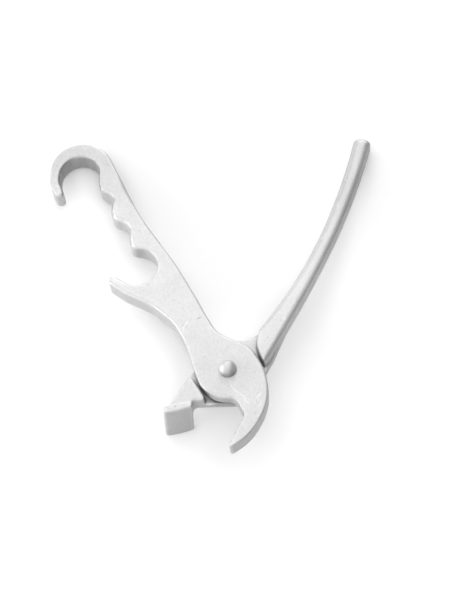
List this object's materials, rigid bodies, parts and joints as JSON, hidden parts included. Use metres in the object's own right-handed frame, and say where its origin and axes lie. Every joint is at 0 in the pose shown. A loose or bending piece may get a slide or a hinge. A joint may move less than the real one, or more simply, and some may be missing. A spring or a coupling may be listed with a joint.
{
  "type": "pan gripper",
  "caption": "Cast pan gripper: a hooked lever with finger scallops and a claw jaw, riveted to a curved handle whose cranked arm carries a tall pad jaw.",
  "frame": {"origin": "under the middle of the bounding box, at the height of the pad jaw's foot", "axes": "+Z along the rivet towards its round head, +Y from the jaws towards the ends of the two levers, +X towards the plain handle's side"},
  "size_m": [0.1778, 0.1846, 0.0374],
  "materials": {
    "casting": "satin, tumbled casting",
    "rivet": "satin"
  },
  "bodies": {
    "hook_side": {"hook_lever": "casting", "pivot_rivet": "rivet"},
    "block_side": {"block_lever": "casting"}
  },
  "joints": [
    {"name": "jaw_pivot", "type": "hinge", "parent": "hook_side", "child": "block_side", "pos_m": [0.01, -0.0485, 0.0219], "axis": [0, 0, 1], "range_deg": [-15, 50]}
  ]
}
